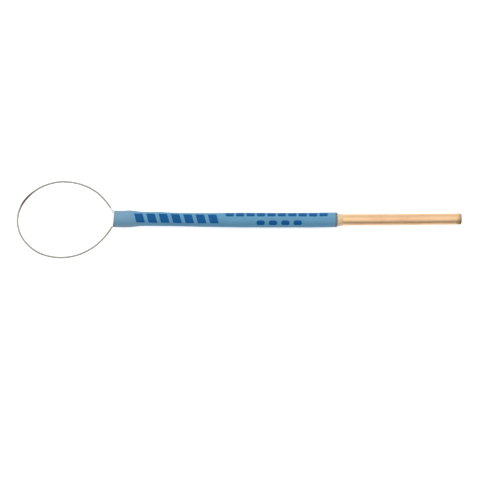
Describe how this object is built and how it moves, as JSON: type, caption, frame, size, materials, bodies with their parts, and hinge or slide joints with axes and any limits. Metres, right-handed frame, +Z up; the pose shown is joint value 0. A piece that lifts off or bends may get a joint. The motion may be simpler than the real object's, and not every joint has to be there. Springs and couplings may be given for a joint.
{
  "type": "electrosurgical wire loop electrode",
  "caption": "Fine wire bent into an egg-shaped cutting loop, soldered along a brass rod under a blue insulating sleeve, with a bare shank for a collet.",
  "frame": {"origin": "centre of the shank's free end face", "axes": "+X along the shank and out of its free end, so the loop is at -X; the loop lies in the XY plane, and +Z is up when the electrode lies flat"},
  "size_m": [0.0642, 0.0112, 0.0022],
  "materials": {
    "shank_brass": "drawn, lightly tarnished",
    "loop_steel": "drawn wire, bright",
    "solder_tin": "dull, flowed",
    "sleeve_blue": "heat-shrunk, satin, printed with plain marks",
    "adhesive_clear": "translucent hot-melt"
  },
  "bodies": {
    "root": {"shank_rod": "shank_brass", "loop_wire": "loop_steel", "solder_right": "solder_tin", "solder_left": "solder_tin", "insulating_sleeve": "sleeve_blue", "adhesive_liner": "adhesive_clear"}
  },
  "joints": []
}
